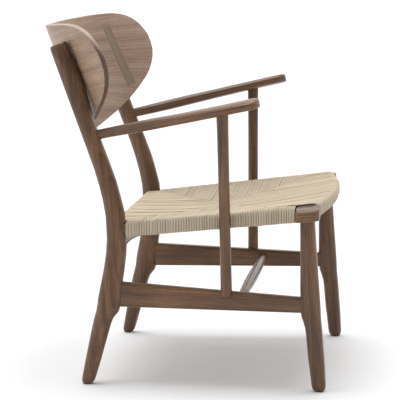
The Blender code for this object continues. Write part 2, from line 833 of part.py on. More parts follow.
def build_side(side, word):
    """One mirrored half. `side` is -1 for the sitter's right, 1 for the left."""
    post = loft(word + "_rear_post", rear_rings(), walnut, side)
    leg = loft(word + "_front_leg", front_rings(), walnut, side)
    stretcher = loft(word + "_side_stretcher", stretcher_rings(), walnut, side)
    rail = loft(word + "_seat_rail", side_rail_rings(), walnut, side)
    arm = loft(word + "_arm", arm_rings(), walnut, side)
    arm_post = loft(word + "_arm_post", arm_post_rings(), walnut, side)
    loft(word + "_lap_dowel", lap_dowel_rings(), birch, side)
    loft(word + "_seat_dowel", seat_dowel_rings(), birch, side)
    loft(word + "_cover_strip", strip_rings(-0.0003, STRIP_DEEP), oak, side)
    join(rail, cutter("head_" + word, head_rings(), side))

    fat_stretcher = cutter("stretcher_" + word, stretcher_rings(GAP), side)
    for target in (post, leg, arm_post):
        cut(target, fat_stretcher)
    cut(post, cutter("rail_" + word, side_rail_rings(GAP), side))
    cut(post, cutter("arm_" + word, arm_rings(GAP), side))
    cut(rail, cutter("leg_" + word, front_rings(GAP), side))
    cut(arm, cutter("arm_post_" + word, arm_post_rings(GAP), side))

    fat_lap = cutter("lap_dowel_" + word, lap_dowel_rings(GAP), side)
    fat_dowel = cutter("seat_dowel_" + word, seat_dowel_rings(GAP), side)
    cut(stretcher, fat_lap)
    cut(arm_post, fat_lap)
    cut(arm_post, fat_dowel)
    cut(rail, fat_dowel)

    cut(seat, cutter("post_" + word, rear_rings(GAP), side))
    cut(seat, cutter("seat_head_" + word, head_rings(GAP), side))
    cut(seat, cutter("seat_rail_" + word, side_rail_rings(GAP), side))
    cut(seat, fat_dowel)

    cut(shell, cutter("strip_" + word, strip_rings(-0.0040, STRIP_DEEP, GAP), side))
    cut(post, fat_shell)
    for place, t in zip(("lower", "upper"), SCREW_T):
        loft(f"{word}_{place}_screw", screw_rings(t), steel, side)
        fat_screw = cutter(f"{place}_screw_{word}", screw_rings(t, GAP), side)
        cut(shell, fat_screw)
        cut(post, fat_screw)
    return post, stretcher, rail


clear_scene()
armchair = bpy.data.collections.new("armchair")
bpy.context.scene.collection.children.link(armchair)
cutters = bpy.data.collections.new("cutters")
cutters.hide_render = True
bpy.context.scene.collection.children.link(cutters)
chair = bpy.data.objects.new("chair", None)
chair.location = (0, CENTRE_Y, 0)
armchair.objects.link(chair)

walnut = material("walnut", (0.150, 0.083, 0.046), 0.45)
veneer = material("walnut_veneer", (0.240, 0.165, 0.115), 0.45)
oak = material("strip_oak", (0.230, 0.160, 0.085), 0.5)
birch = material("dowel_birch", (0.550, 0.420, 0.270), 0.6)
cord = material("paper_cord", (0.620, 0.520, 0.380), 0.8)
steel = material("steel", (0.560, 0.560, 0.570), 0.35, 1.0)

shell = shell_sheet("back_shell", 0.0, SHELL_THICK, 0.0030, 0.0, veneer)
fat_shell = shell_sheet("cutter_shell", -0.0200, SHELL_THICK + GAP, 0.0030, GAP, None, True)
seat = seat_panel()
join(seat, cutter("wrap_right", side_wrap_rings(), -1))
join(seat, cutter("wrap_left", side_wrap_rings(), 1))
join(seat, cutter("wrap_rear", rear_rail_rings(0.0, CORD)))
join(seat, cutter("wrap_front", front_rail_rings(0.0, CORD)))

right_post, right_stretcher, right_rail = build_side(-1, "right")
left_post, left_stretcher, left_rail = build_side(1, "left")

loft("rear_seat_rail", rear_rail_rings(), walnut)
loft("front_seat_rail", front_rail_rings(), walnut)
loft("rear_arched_rail", arch_rings(), walnut)
loft("cross_stretcher", rod_rings(), walnut)
fat_rear = cutter("rear_rail", rear_rail_rings(GAP))
fat_front = cutter("front_rail", front_rail_rings(GAP))
fat_arch = cutter("arch", arch_rings(GAP))
fat_rod = cutter("rod", rod_rings(GAP))
cut(seat, fat_rear)
cut(seat, fat_front)
for post in (right_post, left_post):
    cut(post, fat_rear)
    cut(post, fat_arch)
for rail in (right_rail, left_rail):
    cut(rail, fat_front)
for stretcher in (right_stretcher, left_stretcher):
    cut(stretcher, fat_rod)
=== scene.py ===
"""Looks of the wooden lounge armchair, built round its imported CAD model.

Metres, +Z up. The sitter faces -Y, the floor is z = 0 and x = 0 is the mirror plane.
The wooden CAD pieces keep their shape and get wood whose grain follows each member. The plain
seat is replaced by its paper cords: every cord is a tube that comes up at a seam, runs to its
rail, turns round it and goes back underneath. Four fields of cords meet along the diagonals.
"""

import json
import math
import random

import bpy
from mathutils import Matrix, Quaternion, Vector, noise
from mathutils.bvhtree import BVHTree


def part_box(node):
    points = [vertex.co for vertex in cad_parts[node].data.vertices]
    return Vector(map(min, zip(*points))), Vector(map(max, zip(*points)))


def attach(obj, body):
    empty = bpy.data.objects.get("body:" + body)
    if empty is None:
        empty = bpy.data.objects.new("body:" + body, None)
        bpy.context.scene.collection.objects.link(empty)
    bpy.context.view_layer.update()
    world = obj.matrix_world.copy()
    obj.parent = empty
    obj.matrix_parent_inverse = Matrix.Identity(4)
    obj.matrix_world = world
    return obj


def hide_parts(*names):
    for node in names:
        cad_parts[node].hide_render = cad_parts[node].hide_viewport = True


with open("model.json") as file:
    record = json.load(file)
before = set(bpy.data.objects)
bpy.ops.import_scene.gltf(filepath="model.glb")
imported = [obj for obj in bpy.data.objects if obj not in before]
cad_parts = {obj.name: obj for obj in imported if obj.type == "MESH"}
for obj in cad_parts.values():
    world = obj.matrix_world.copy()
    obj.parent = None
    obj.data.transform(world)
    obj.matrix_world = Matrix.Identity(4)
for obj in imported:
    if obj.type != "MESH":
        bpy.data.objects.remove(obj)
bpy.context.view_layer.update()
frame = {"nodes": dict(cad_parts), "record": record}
nodes = frame["nodes"]

CAMERA_PLACE = (-4.634, -0.5463, 0.945)
CAMERA_YAW = math.radians(6.54)
CAMERA_PITCH = math.radians(-7.36)
CAMERA_ROLL = math.radians(0.2)
CAMERA_LENS = 199.1
CAMERA_SENSOR = 36.0
CAMERA_FAR = 200.0

# The world's strength grows with the x of the direction looked at.
WORLD_STRENGTH = 0.80
WORLD_TILT = 0.45
WORLD_LEAST = 0.05
OVERHEAD_STRENGTH = 1.75
OVERHEAD_WIDTH = math.radians(38)
OVERHEAD_TOWARDS = (-0.10, -0.08, -1.0)
FILL_STRENGTH = 0.60
FILL_WIDTH = math.radians(60)
FILL_TOWARDS = (0.36, -0.85, -0.38)
FLOOR_SIZE = 120
FLOOR_TONE = (0.815, 0.818, 0.827, 1.0)
FLOOR_ROUGHNESS = 0.9
FLOOR_SPECULAR = 0.1

# Wood: dark, middle and light tone of each kind.
WALNUT = ((0.046, 0.018, 0.006), (0.118, 0.050, 0.017), (0.215, 0.102, 0.040))
VENEER = ((0.215, 0.128, 0.084), (0.325, 0.212, 0.146), (0.425, 0.295, 0.212))
STRIP = ((0.140, 0.086, 0.040), (0.200, 0.130, 0.066), (0.255, 0.172, 0.094))
BIRCH = ((0.46, 0.34, 0.21), (0.56, 0.43, 0.28), (0.64, 0.51, 0.35))
TONE_STOPS = (0.12, 0.5, 0.88)
RIM_TONES = ((0.085, 0.044, 0.028), (0.135, 0.076, 0.050))
# The pale tone of the painted highlight on the rim's upward faces, where the light from above falls.
PAINTED_HIGHLIGHT_RIM = (0.520, 0.390, 0.310)
STEEL = (0.56, 0.56, 0.57, 1.0)

# Wood: the noises that make its figure, and how much each adds to the tone.
GRAIN_SQUEEZE = 0.06
PORE_SQUEEZE = 0.05
WARP_SCALE = 16.0
WARP_REACH = 0.022
RING_DISTORTION = 2.2
FIBRE_SCALE = 420.0
STREAK_SCALE = 70.0
DRIFT_SCALE = 7.0
PORE_SCALE = 1300.0
PORE_EDGE = (0.60, 0.68)
RING_SHARE = 0.30
FIBRE_SHARE = 0.85
STREAK_SHARE = 1.5
DRIFT_SHARE = 0.7
PORE_COVER = 0.55
PORE_DARKNESS = 0.55
GRAIN_BUMP = 0.16
BUMP_DISTANCE = 0.0004

# Wood: its surface, and the sizes and contrast of its rings.
WOOD_SPECULAR = 0.40
WOOD_COAT = 0.38
WOOD_COAT_ROUGHNESS = 0.20
WOOD_ROUGHNESS = (0.36, 0.50)
STEEL_ROUGHNESS = (0.28, 0.45)
STEEL_SCRATCH_SCALE = 900.0
NOISE_MIDDLE = (0.3, 0.7)
VENEER_SPECULAR = 0.42
WALNUT_RING_GAPS = (0.0045, 0.0065)
VENEER_RING_GAP = 0.0062
STRIP_RING_GAP = 0.006
DOWEL_RING_GAP = 0.004
WALNUT_CONTRAST = 0.68
SEAT_RAIL_CONTRAST = 1.4
VENEER_CONTRAST = 0.75
STRIP_CONTRAST = 0.6
DOWEL_CONTRAST = 0.5
HEART_NEAR = 0.03
HEART_FAR = 0.07
STRIP_HEART = (0.05, 0.02, 0)
WOOD_SEED = 7

# The share of a member at each end whose mean gives its direction.
MEMBER_END = 0.12
WELD_DISTANCE = 0.00001
CREASE = math.radians(34)

# The back shell's plane, the curve of its sitter's face and its thickness.
SHELL_TILT = math.radians(20.3)
SHELL_CURVE = (-0.0885, 1.3415, -0.8227)
SHELL_SHIFT_Y = -0.06045
SHELL_THICK = 0.0120
PLY_LAYERS = 9
FIGURE_HEART = 0.490
FIGURE_WIDTH = 0.42
FIGURE_WIDTH_BEHIND = 0.105
FIGURE_TURN = 0.2
RIM_FACING = (0.80, 0.95)
# Painted highlight on the rim: how far up its normal must point, and how much of the pale tone it gets.
HIGHLIGHT_UPWARD = (0.30, 0.85)
HIGHLIGHT_SHARE = 0.9
LAYER_EDGE = 0.3

# Paper cord.
CORD_R = 0.00168
CORD_PITCH = 0.00330
CORD_SIDES = 6
CORD_STEP = 0.016
CORD_TONES = ((0.2, (0.560, 0.440, 0.300)), (0.5, (0.700, 0.585, 0.440)), (0.8, (0.800, 0.700, 0.570)))
CORD_SPECULAR = 0.25
CORD_ROUGHNESS = 0.82
# The hidden cords' colour: the cord's colour darkened, as painted shade.
PAINTED_SHADE_INNER_TONES = ((0.3, (0.150, 0.115, 0.075)), (0.7, (0.260, 0.205, 0.140)))
INNER_ROUGHNESS = 0.9
PLIES = 3
PLY_PITCH = 0.0110
# Painted shade: darker in the grooves between the plies and on each cord's flanks, where cords touch.
PAINTED_PLY_SHADE = 0.80
PLY_GROOVE = (-1.0, -0.3)
PLY_BUMP = 0.5
FLANK_FROM = 0.50
PAINTED_FLANK_SHADE = 0.16
PATCH_SCALE = 22.0
FLECK_SCALE = 700.0
FUZZ_SCALE = 300.0
TONE_SHARE = 0.34
PATCH_SHARE = 0.36
FLECK_SHARE = 0.30

# The weave in plan: the seams run from the apex to the four corners.
FRONT_CORNER = (0.2748, -0.2370)
REAR_CORNER = (0.2465, 0.1060)
APEX_HALF = 0.010
SIDE_RAIL_REAR_X = 0.2610
SIDE_RAIL_FRONT_X = 0.2970
FRONT_RAIL_AHEAD = 0.033
REAR_RAIL_BEHIND = 0.012
SIDE_PAST_FRONT = 0.0004
SIDE_SHORT_OF_REAR = 0.0005
FRONT_SHORT_OF_SIDE = 0.0008

# Each cord: where its rail's middle lies, the turn round it and the dive at the seam.
RAIL_REACH = 0.0150
RAY_CLEAR = 0.05
RAY_START = 0.30
WRAP_START = 0.05
WRAP_ANGLES = (66, 50, 40, 22, 0, -22, -40, -50, -66)
SHORTEST_RUN = 0.001
SEAM_DIVE = 0.0050
SEAM_TUCK = 0.0025

# How far hand work leaves each cord from its even place.
LIFTS = (-0.00045, 0.00010)
WANDER = 0.00015
TONE_MEAN = 0.5
TONE_SPREAD = 0.13
DRIFT_REACH = 0.00040
DRIFT_ACROSS = 55
DRIFT_ALONG = 3.0
UNEVEN_REACH = 0.00065
UNEVEN_ACROSS = 38
UNEVEN_ALONG = 6.0
UNEVEN_SEED_STEP = 5
PILE_WIDTH = 0.045
PILE_RISE = 0.035
PILE_HEIGHT = 0.0024

# Fractions of a cord's path: its ends, the part near the seam and the part off the rail.
PATH_END = 0.02
SEAM_SHARE = 0.40
RAIL_SHARE = 0.42
RAIL_FADE = 0.10

# How the two cords at a gap part, and the step up between them, fade along the rail.
GAP_FADE = 0.006
STEP_FADE = 0.012
STEP_HEIGHT = 0.9

# Stations along a rail where neighbours stand apart near the seam, and by how much.
SIDE_GAPS = ((0.035, 0.0006), (-0.030, 0.0005), (-0.170, 0.0006), (0.070, 0.0005))
FRONT_GAPS = ((-0.080, 0.0011), (-0.142, 0.0009), (0.060, 0.0007), (0.115, 0.0006), (-0.015, 0.0006))
REAR_GAPS = ((-0.112, 0.0011), (0.004, 0.0010), (0.076, 0.0009), (-0.060, 0.0007), (-0.175, 0.0007))
RIGHT_SEED = 2
LEFT_SEED = 4
FRONT_SEED = 11
REAR_SEED = 13

# The slab of hidden cords.
INNER_COLUMNS = 24
INNER_ROWS = 16
INNER_DEPTH = 2 * CORD_R + 0.0004
INNER_INSET = 0.001


# ---- node helpers ----


def new_material(name):
    made = bpy.data.materials.new(name)
    made.use_nodes = True
    return made, made.node_tree, made.node_tree.nodes["Principled BSDF"]


def add(tree, kind, values=None, **settings):
    node = tree.nodes.new(kind)
    for key, value in settings.items():
        setattr(node, key, value)
    for key, value in (values or {}).items():
        node.inputs[key].default_value = value
    return node


def math_node(tree, operation, a, b=None, clamp=False):
    """A Math node whose inputs are sockets or numbers."""
    node = add(tree, "ShaderNodeMath", operation=operation, use_clamp=clamp)
    for index, value in enumerate((a, b)):
        if value is None:
            continue
        if isinstance(value, (int, float)):
            node.inputs[index].default_value = value
        else:
            tree.links.new(value, node.inputs[index])
    return node.outputs[0]


def summed(tree, terms):
    """The sum of sockets and numbers, held between 0 and 1."""
    last = len(terms) - 1
    total = terms[0]
    for index in range(1, len(terms)):
        total = math_node(tree, "ADD", total, terms[index], index == last)
    return total


def centred(tree, factor, share):
    """A noise's factor shifted to lie round zero, times its share."""
    return math_node(tree, "MULTIPLY", math_node(tree, "SUBTRACT", factor, 0.5), share)


def noise_at(tree, vector, scale, detail=2.0, roughness=0.5):
    node = add(tree, "ShaderNodeTexNoise", {"Scale": scale, "Detail": detail, "Roughness": roughness})
    tree.links.new(vector, node.inputs["Vector"])
    return node.outputs["Fac"]


def ramp(tree, factor, stops):
    node = add(tree, "ShaderNodeValToRGB")
    elements = node.color_ramp.elements
    while len(elements) < len(stops):
        elements.new(0.5)
    for element, (position, colour) in zip(elements, stops):
        element.position = position
        element.color = (*colour, 1.0)
    tree.links.new(factor, node.inputs["Fac"])
    return node.outputs["Color"]


def remap(tree, factor, low, high, to_low, to_high):
    node = add(tree, "ShaderNodeMapRange", {1: low, 2: high, 3: to_low, 4: to_high})
    tree.links.new(factor, node.inputs[0])
    return node.outputs[0]


def mix_colour(tree, blend, factor, a, b):
    node = add(tree, "ShaderNodeMix", data_type="RGBA", blend_type=blend)
    for index, value in ((0, factor), (6, a), (7, b)):
        if isinstance(value, (int, float)):
            node.inputs[index].default_value = value
        elif isinstance(value, tuple):
            node.inputs[index].default_value = (*value, 1.0)
        else:
            tree.links.new(value, node.inputs[index])
    return node.outputs[2]


def scaled(tree, vector, scale):
    node = add(tree, "ShaderNodeMapping", {"Scale": scale})
    tree.links.new(vector, node.inputs["Vector"])
    return node.outputs["Vector"]


def separated(tree, vector):
    node = add(tree, "ShaderNodeSeparateXYZ")
    tree.links.new(vector, node.inputs[0])
    return node


def bump(tree, shader, height, strength):
    node = add(tree, "ShaderNodeBump", {"Strength": strength, "Distance": BUMP_DISTANCE})
    tree.links.new(height, node.inputs["Height"])
    tree.links.new(node.outputs["Normal"], shader.inputs["Normal"])


# ---- wood ----


def ring_waves(tree, stretched, ring_gap):
    """Growth rings round the grain's axis, pushed about by a slow noise."""
    warp = add(tree, "ShaderNodeTexNoise", {"Scale": WARP_SCALE, "Detail": 2.0})
    tree.links.new(stretched, warp.inputs["Vector"])
    shift = add(tree, "ShaderNodeVectorMath", operation="SCALE")
    shift.inputs["Scale"].default_value = WARP_REACH
    tree.links.new(warp.outputs["Color"], shift.inputs[0])
    warped = add(tree, "ShaderNodeVectorMath", operation="ADD")
    tree.links.new(stretched, warped.inputs[0])
    tree.links.new(shift.outputs["Vector"], warped.inputs[1])
    # The wave texture's wavelength is 2 pi / 20 divided by its scale.
    rings = add(
        tree,
        "ShaderNodeTexWave",
        {"Scale": 2 * math.pi / (20 * ring_gap), "Distortion": RING_DISTORTION, "Detail": 2.0},
        wave_type="RINGS",
        rings_direction="Z",
        wave_profile="SAW",
    )
    tree.links.new(warped.outputs["Vector"], rings.inputs["Vector"])
    return rings.outputs["Fac"]


def grain(tree, shader, along, ring_gap, tones, contrast):
    """Growth rings, fibres and pores in `along`, coordinates whose Z runs with the grain."""
    stretched = scaled(tree, along, (1, 1, GRAIN_SQUEEZE))
    rings = ring_waves(tree, stretched, ring_gap)
    fibres = noise_at(tree, stretched, FIBRE_SCALE, 3.0, 0.6)
    streaks = noise_at(tree, stretched, STREAK_SCALE, 2.0, 0.55)
    drift = noise_at(tree, along, DRIFT_SCALE, 1.0)
    terms = (
        math_node(tree, "MULTIPLY", rings, RING_SHARE * contrast),
        centred(tree, fibres, FIBRE_SHARE),
        centred(tree, streaks, STREAK_SHARE * contrast),
        centred(tree, drift, DRIFT_SHARE),
        0.5 - RING_SHARE / 2 * contrast,
    )
    colour = ramp(tree, summed(tree, terms), tuple(zip(TONE_STOPS, tones)))
    pores = noise_at(tree, scaled(tree, along, (1, 1, PORE_SQUEEZE)), PORE_SCALE, 1.0)
    pores = remap(tree, pores, *PORE_EDGE, 0.0, PORE_COVER)
    dark = tuple(PORE_DARKNESS * channel for channel in tones[0])
    colour = mix_colour(tree, "MIX", pores, colour, dark)
    tree.links.new(colour, shader.inputs["Base Color"])
    tree.links.new(remap(tree, fibres, *NOISE_MIDDLE, *WOOD_ROUGHNESS), shader.inputs["Roughness"])
    bump(tree, shader, math_node(tree, "SUBTRACT", fibres, pores), GRAIN_BUMP)
    return colour


def wood(name, tones, direction, origin, ring_gap, contrast):
    """Solid wood with its grain along `direction`. The tree's heart lies at `origin`."""
    made, tree, shader = new_material(name)
    shader.inputs["Specular IOR Level"].default_value = WOOD_SPECULAR
    shader.inputs["Coat Weight"].default_value = WOOD_COAT
    shader.inputs["Coat Roughness"].default_value = WOOD_COAT_ROUGHNESS
    turn = Vector(direction).to_track_quat("Z", "Y").to_euler()
    place = add(tree, "ShaderNodeTexCoord")
    local = add(tree, "ShaderNodeMapping", {"Location": origin, "Rotation": turn}, vector_type="TEXTURE")
    tree.links.new(place.outputs["Object"], local.inputs["Vector"])
    grain(tree, shader, local.outputs["Vector"], ring_gap, tones, contrast)
    return made


def shell_axes(tree, vector, location):
    """A vector in the shell's own axes: x, up the back and towards the sitter."""
    turned = add(
        tree,
        "ShaderNodeMapping",
        {"Location": location, "Rotation": (math.pi / 2 - SHELL_TILT, 0, 0)},
        vector_type="TEXTURE",
    )
    tree.links.new(vector, turned.inputs["Vector"])
    return separated(tree, turned.outputs["Vector"]).outputs


def shell_figure(tree, point, normal):
    """Grain coordinates of the shell's faces. The lines arch over a heart low on the shell."""
    fall = math_node(tree, "SUBTRACT", point["Y"], FIGURE_HEART)
    fall = math_node(tree, "MULTIPLY", fall, fall)
    width = remap(tree, normal["Z"], -FIGURE_TURN, FIGURE_TURN, FIGURE_WIDTH_BEHIND, FIGURE_WIDTH)
    across = math_node(tree, "MULTIPLY", point["X"], width)
    across = math_node(tree, "MULTIPLY", across, across)
    reach = math_node(tree, "SQRT", math_node(tree, "ADD", fall, across))
    along = add(tree, "ShaderNodeCombineXYZ")
    tree.links.new(reach, along.inputs["X"])
    tree.links.new(point["X"], along.inputs["Z"])
    return along.outputs["Vector"]


def shell_curve(tree, x):
    """The sitter's face a + b x^2 + c x^4, its slope, and the length of (slope, 1)."""
    a, b, c = SHELL_CURVE
    x2 = math_node(tree, "MULTIPLY", x, x)
    curve = math_node(tree, "ADD", math_node(tree, "MULTIPLY", x2, c), b)
    curve = math_node(tree, "ADD", math_node(tree, "MULTIPLY", curve, x2), a)
    slope = math_node(tree, "ADD", math_node(tree, "MULTIPLY", x2, 4 * c), 2 * b)
    slope = math_node(tree, "MULTIPLY", slope, x)
    size = math_node(tree, "ADD", math_node(tree, "MULTIPLY", slope, slope), 1.0)
    return curve, slope, math_node(tree, "SQRT", size)


def rim_colour(tree, depth, world_normal):
    """The plywood's layers, by the depth below the sitter's face. A painted highlight: paler where the
    rim looks up.
    """
    layers = math_node(tree, "MULTIPLY", depth, math.pi * PLY_LAYERS / SHELL_THICK)
    layers = remap(tree, math_node(tree, "SINE", layers), -LAYER_EDGE, LAYER_EDGE, 0.0, 1.0)
    colour = ramp(tree, layers, tuple(zip((0.0, 1.0), RIM_TONES)))
    upward = separated(tree, world_normal).outputs["Z"]
    # Painted highlight: the rim is mixed towards a pale tone where its normal points up, towards the
    # light.
    painted_highlight = remap(tree, upward, *HIGHLIGHT_UPWARD, 0.0, HIGHLIGHT_SHARE)
    return mix_colour(tree, "MIX", painted_highlight, colour, PAINTED_HIGHLIGHT_RIM)


def rim_mask(tree, normal, slope, size):
    """1 on the rim and 0 on the faces, by how far the normal leans from the face's own."""
    across = math_node(tree, "MULTIPLY", normal["X"], slope)
    facing = math_node(tree, "SUBTRACT", normal["Z"], across)
    facing = math_node(tree, "ABSOLUTE", math_node(tree, "DIVIDE", facing, size))
    return remap(tree, facing, *RIM_FACING, 1.0, 0.0)


def veneer(name):
    """Bent plywood: cathedral grain lying across the faces, thin layers along the rim."""
    made, tree, shader = new_material(name)
    shader.inputs["Specular IOR Level"].default_value = VENEER_SPECULAR
    place = add(tree, "ShaderNodeTexCoord").outputs
    point = shell_axes(tree, place["Object"], (0, SHELL_SHIFT_Y, 0))
    normal = shell_axes(tree, place["Normal"], (0, 0, 0))
    figure = shell_figure(tree, point, normal)
    faces = grain(tree, shader, figure, VENEER_RING_GAP, VENEER, VENEER_CONTRAST)
    curve, slope, size = shell_curve(tree, point["X"])
    depth = math_node(tree, "DIVIDE", math_node(tree, "SUBTRACT", curve, point["Z"]), size)
    layers = rim_colour(tree, depth, place["Normal"])
    colour = mix_colour(tree, "MIX", rim_mask(tree, normal, slope, size), faces, layers)
    tree.links.new(colour, shader.inputs["Base Color"])
    return made


def steel(name):
    made, tree, shader = new_material(name)
    shader.inputs["Base Color"].default_value = STEEL
    shader.inputs["Metallic"].default_value = 1.0
    place = add(tree, "ShaderNodeTexCoord")
    scratches = noise_at(tree, place.outputs["Object"], STEEL_SCRATCH_SCALE)
    roughness = remap(tree, scratches, *NOISE_MIDDLE, *STEEL_ROUGHNESS)
    tree.links.new(roughness, shader.inputs["Roughness"])
    return made


def member_direction(node):
    """The longest line through a node: from the mean of one end to the mean of the other."""
    points = [v.co for v in nodes[node].data.vertices]
    low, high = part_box(node)
    sides = high - low
    axis = max(range(3), key=lambda k: sides[k])
    start = [p for p in points if p[axis] < low[axis] + MEMBER_END * sides[axis]]
    end = [p for p in points if p[axis] > high[axis] - MEMBER_END * sides[axis]]
    return (sum(end, Vector()) / len(end) - sum(start, Vector()) / len(start)).normalized()


def dress(node, made):
    """Gives a CAD node its material and smooth shading with crisp edges."""
    obj = nodes[node]
    obj.data.materials.clear()
    obj.data.materials.append(made)
    if obj.data.has_custom_normals:
        bpy.context.view_layer.objects.active = obj
        bpy.ops.mesh.customdata_custom_splitnormals_clear()
    obj.data.shade_smooth()
    weld = obj.modifiers.new("weld", "WELD")
    weld.merge_threshold = WELD_DISTANCE
    split = obj.modifiers.new("crisp_edges", "EDGE_SPLIT")
    split.split_angle = CREASE
    split.use_edge_sharp = False


def dress_walnut(node, rng):
    low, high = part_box(node)
    off_x = rng.uniform(HEART_NEAR, HEART_FAR)
    off_y = rng.uniform(-HEART_FAR, -HEART_NEAR)
    off_z = rng.uniform(-1, 1)
    heart = (low + high) / 2 + Vector((off_x, off_y, off_z))
    ring_gap = rng.uniform(*WALNUT_RING_GAPS)
    contrast = SEAT_RAIL_CONTRAST if node.endswith("seat_rail") else WALNUT_CONTRAST
    dress(node, wood("walnut_" + node, WALNUT, member_direction(node), heart, ring_gap, contrast))


def dress_side(side):
    """The strip, dowels and screws of one side."""
    strip = side + "_cover_strip"
    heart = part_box(strip)[0] + Vector(STRIP_HEART)
    along = member_direction(strip)
    dress(strip, wood("strip_oak_" + side, STRIP, along, heart, STRIP_RING_GAP, STRIP_CONTRAST))
    for dowel in (side + "_lap_dowel", side + "_seat_dowel"):
        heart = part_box(dowel)[0]
        dress(dowel, wood("birch_" + dowel, BIRCH, (1, 0, 0), heart, DOWEL_RING_GAP, DOWEL_CONTRAST))
    for screw in (side + "_lower_screw", side + "_upper_screw"):
        dress(screw, steel("steel_" + screw))


def dress_woods():
    rng = random.Random(WOOD_SEED)
    parts = frame["record"]["subparts"]
    for node in sorted(part["node"] for part in parts if part["material_slot"] == "walnut"):
        dress_walnut(node, rng)
    dress("back_shell", veneer("walnut_veneer"))
    for side in ("right", "left"):
        dress_side(side)


# ---- the cord's material ----


def paper_cord():
    """Three-ply twisted paper: the plies wind round each tube, with a tone for each cord."""
    made, tree, shader = new_material("paper_cord")
    shader.inputs["Roughness"].default_value = CORD_ROUGHNESS
    shader.inputs["Specular IOR Level"].default_value = CORD_SPECULAR
    uv = separated(tree, add(tree, "ShaderNodeUVMap", uv_map="cord").outputs["UV"]).outputs
    turns = math_node(tree, "DIVIDE", uv["X"], PLY_PITCH)
    turns = math_node(tree, "ADD", turns, uv["Y"])
    plies = math_node(tree, "SINE", math_node(tree, "MULTIPLY", turns, 2 * math.pi * PLIES))
    tone = add(tree, "ShaderNodeAttribute", attribute_name="tone")
    place = add(tree, "ShaderNodeTexCoord")
    patches = noise_at(tree, place.outputs["Object"], PATCH_SCALE, 3.0)
    flecks = noise_at(tree, place.outputs["Object"], FLECK_SCALE, 2.0)
    terms = (
        math_node(tree, "MULTIPLY", tone.outputs["Fac"], TONE_SHARE),
        math_node(tree, "MULTIPLY", patches, PATCH_SHARE),
        math_node(tree, "MULTIPLY", flecks, FLECK_SHARE),
    )
    colour = ramp(tree, summed(tree, terms), CORD_TONES)
    # Painted shade where a cord touches its neighbours, on its two flanks.
    painted_flank_shade = math_node(tree, "MULTIPLY", uv["Y"], 2 * math.pi)
    painted_flank_shade = math_node(tree, "ABSOLUTE", math_node(tree, "COSINE", painted_flank_shade))
    painted_flank_shade = remap(tree, painted_flank_shade, FLANK_FROM, 1.0, 1.0, PAINTED_FLANK_SHADE)
    # Painted shade in the grooves between the plies, multiplied by the painted shade on the flanks.
    painted_crevice_shade = remap(tree, plies, *PLY_GROOVE, PAINTED_PLY_SHADE, 1.0)
    painted_crevice_shade = math_node(tree, "MULTIPLY", painted_crevice_shade, painted_flank_shade)
    shade = add(tree, "ShaderNodeCombineColor")
    for channel in ("Red", "Green", "Blue"):
        tree.links.new(painted_crevice_shade, shade.inputs[channel])
    colour = mix_colour(tree, "MULTIPLY", 1.0, colour, shade.outputs["Color"])
    tree.links.new(colour, shader.inputs["Base Color"])
    bump(tree, shader, plies, PLY_BUMP)
    return made


def painted_shade_inner_cord():
    """The layers of cord under the visible one, always in shade: the cord's colour darkened, as painted
    shade.
    """
    made, tree, shader = new_material("painted_shade_inner_cord")
    shader.inputs["Roughness"].default_value = INNER_ROUGHNESS
    place = add(tree, "ShaderNodeTexCoord")
    fuzz = noise_at(tree, place.outputs["Object"], FUZZ_SCALE, 3.0)
    tree.links.new(ramp(tree, fuzz, PAINTED_SHADE_INNER_TONES), shader.inputs["Base Color"])
    return made


# ---- the seat's skin, which the cords follow ----


def tree_of(node):
    mesh = nodes[node].data
    faces = [tuple(p.vertices) for p in mesh.polygons]
    return BVHTree.FromPolygons([v.co for v in mesh.vertices], faces)


seat_tree = tree_of("woven_seat")
seat_low, seat_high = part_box("woven_seat")
stretcher_low, stretcher_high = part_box("left_side_stretcher")
front_corner = Vector(FRONT_CORNER)
rear_corner = Vector(REAR_CORNER)
apex = Vector((APEX_HALF, (front_corner.y + rear_corner.y) / 2))


def seat_top(x, y):
    hit = seat_tree.ray_cast(Vector((x, y, seat_high.z + RAY_CLEAR)), Vector((0, 0, -1)))[0]
    return hit.z if hit else None


def seat_bottom(x, y):
    hit = seat_tree.ray_cast(Vector((x, y, seat_low.z - RAY_CLEAR)), Vector((0, 0, 1)))[0]
    return hit.z if hit else None


def side_rail_x(y):
    """A straight line in plan inside the side rail, over the length of the stretcher below."""
    f = (stretcher_high.y - y) / (stretcher_high.y - stretcher_low.y)
    return SIDE_RAIL_REAR_X + (SIDE_RAIL_FRONT_X - SIDE_RAIL_REAR_X) * f


def outer_face(p, out):
    """The outermost point of the seat's skin straight out from p, halfway up its edge."""
    top = seat_top(p.x, p.y)
    if top is None:
        return None
    level = (top + seat_bottom(p.x, p.y)) / 2
    origin = Vector((p.x + out.x * RAY_START, p.y + out.y * RAY_START, level))
    return seat_tree.ray_cast(origin, Vector((-out.x, -out.y, 0)))[0]


def rail_centre(rail_point, out):
    """The middle of the rail that a cord turns round, a fixed reach inside the outer face."""
    near = outer_face(rail_point, out)
    if near is None:
        return None
    plan = Vector((near.x - out.x * RAIL_REACH, near.y - out.y * RAIL_REACH))
    return Vector((plan.x, plan.y, (seat_top(plan.x, plan.y) + seat_bottom(plan.x, plan.y)) / 2))


# ---- one cord's path ----


def surface_run(start, end, height, inset):
    """Points on the seat's skin from `start` to `end` in plan, `inset` above it."""
    count = max(1, round((end - start).length / CORD_STEP))
    points = []
    for k in range(count + 1):
        p = start.lerp(end, k / count)
        z = height(p.x, p.y)
        if z is not None:
            points.append(Vector((p.x, p.y, z + inset)))
    return points


def wrap_run(centre, out, sunk):
    """Points round the outside of the rail, `sunk` under the seat's skin."""
    points = []
    for degrees in WRAP_ANGLES:
        angle = math.radians(degrees)
        level = math.cos(angle)
        ray = Vector((out.x * level, out.y * level, math.sin(angle)))
        hit = seat_tree.ray_cast(centre + ray * WRAP_START, -ray)[0]
        if hit:
            points.append(hit - ray * sunk)
    return points


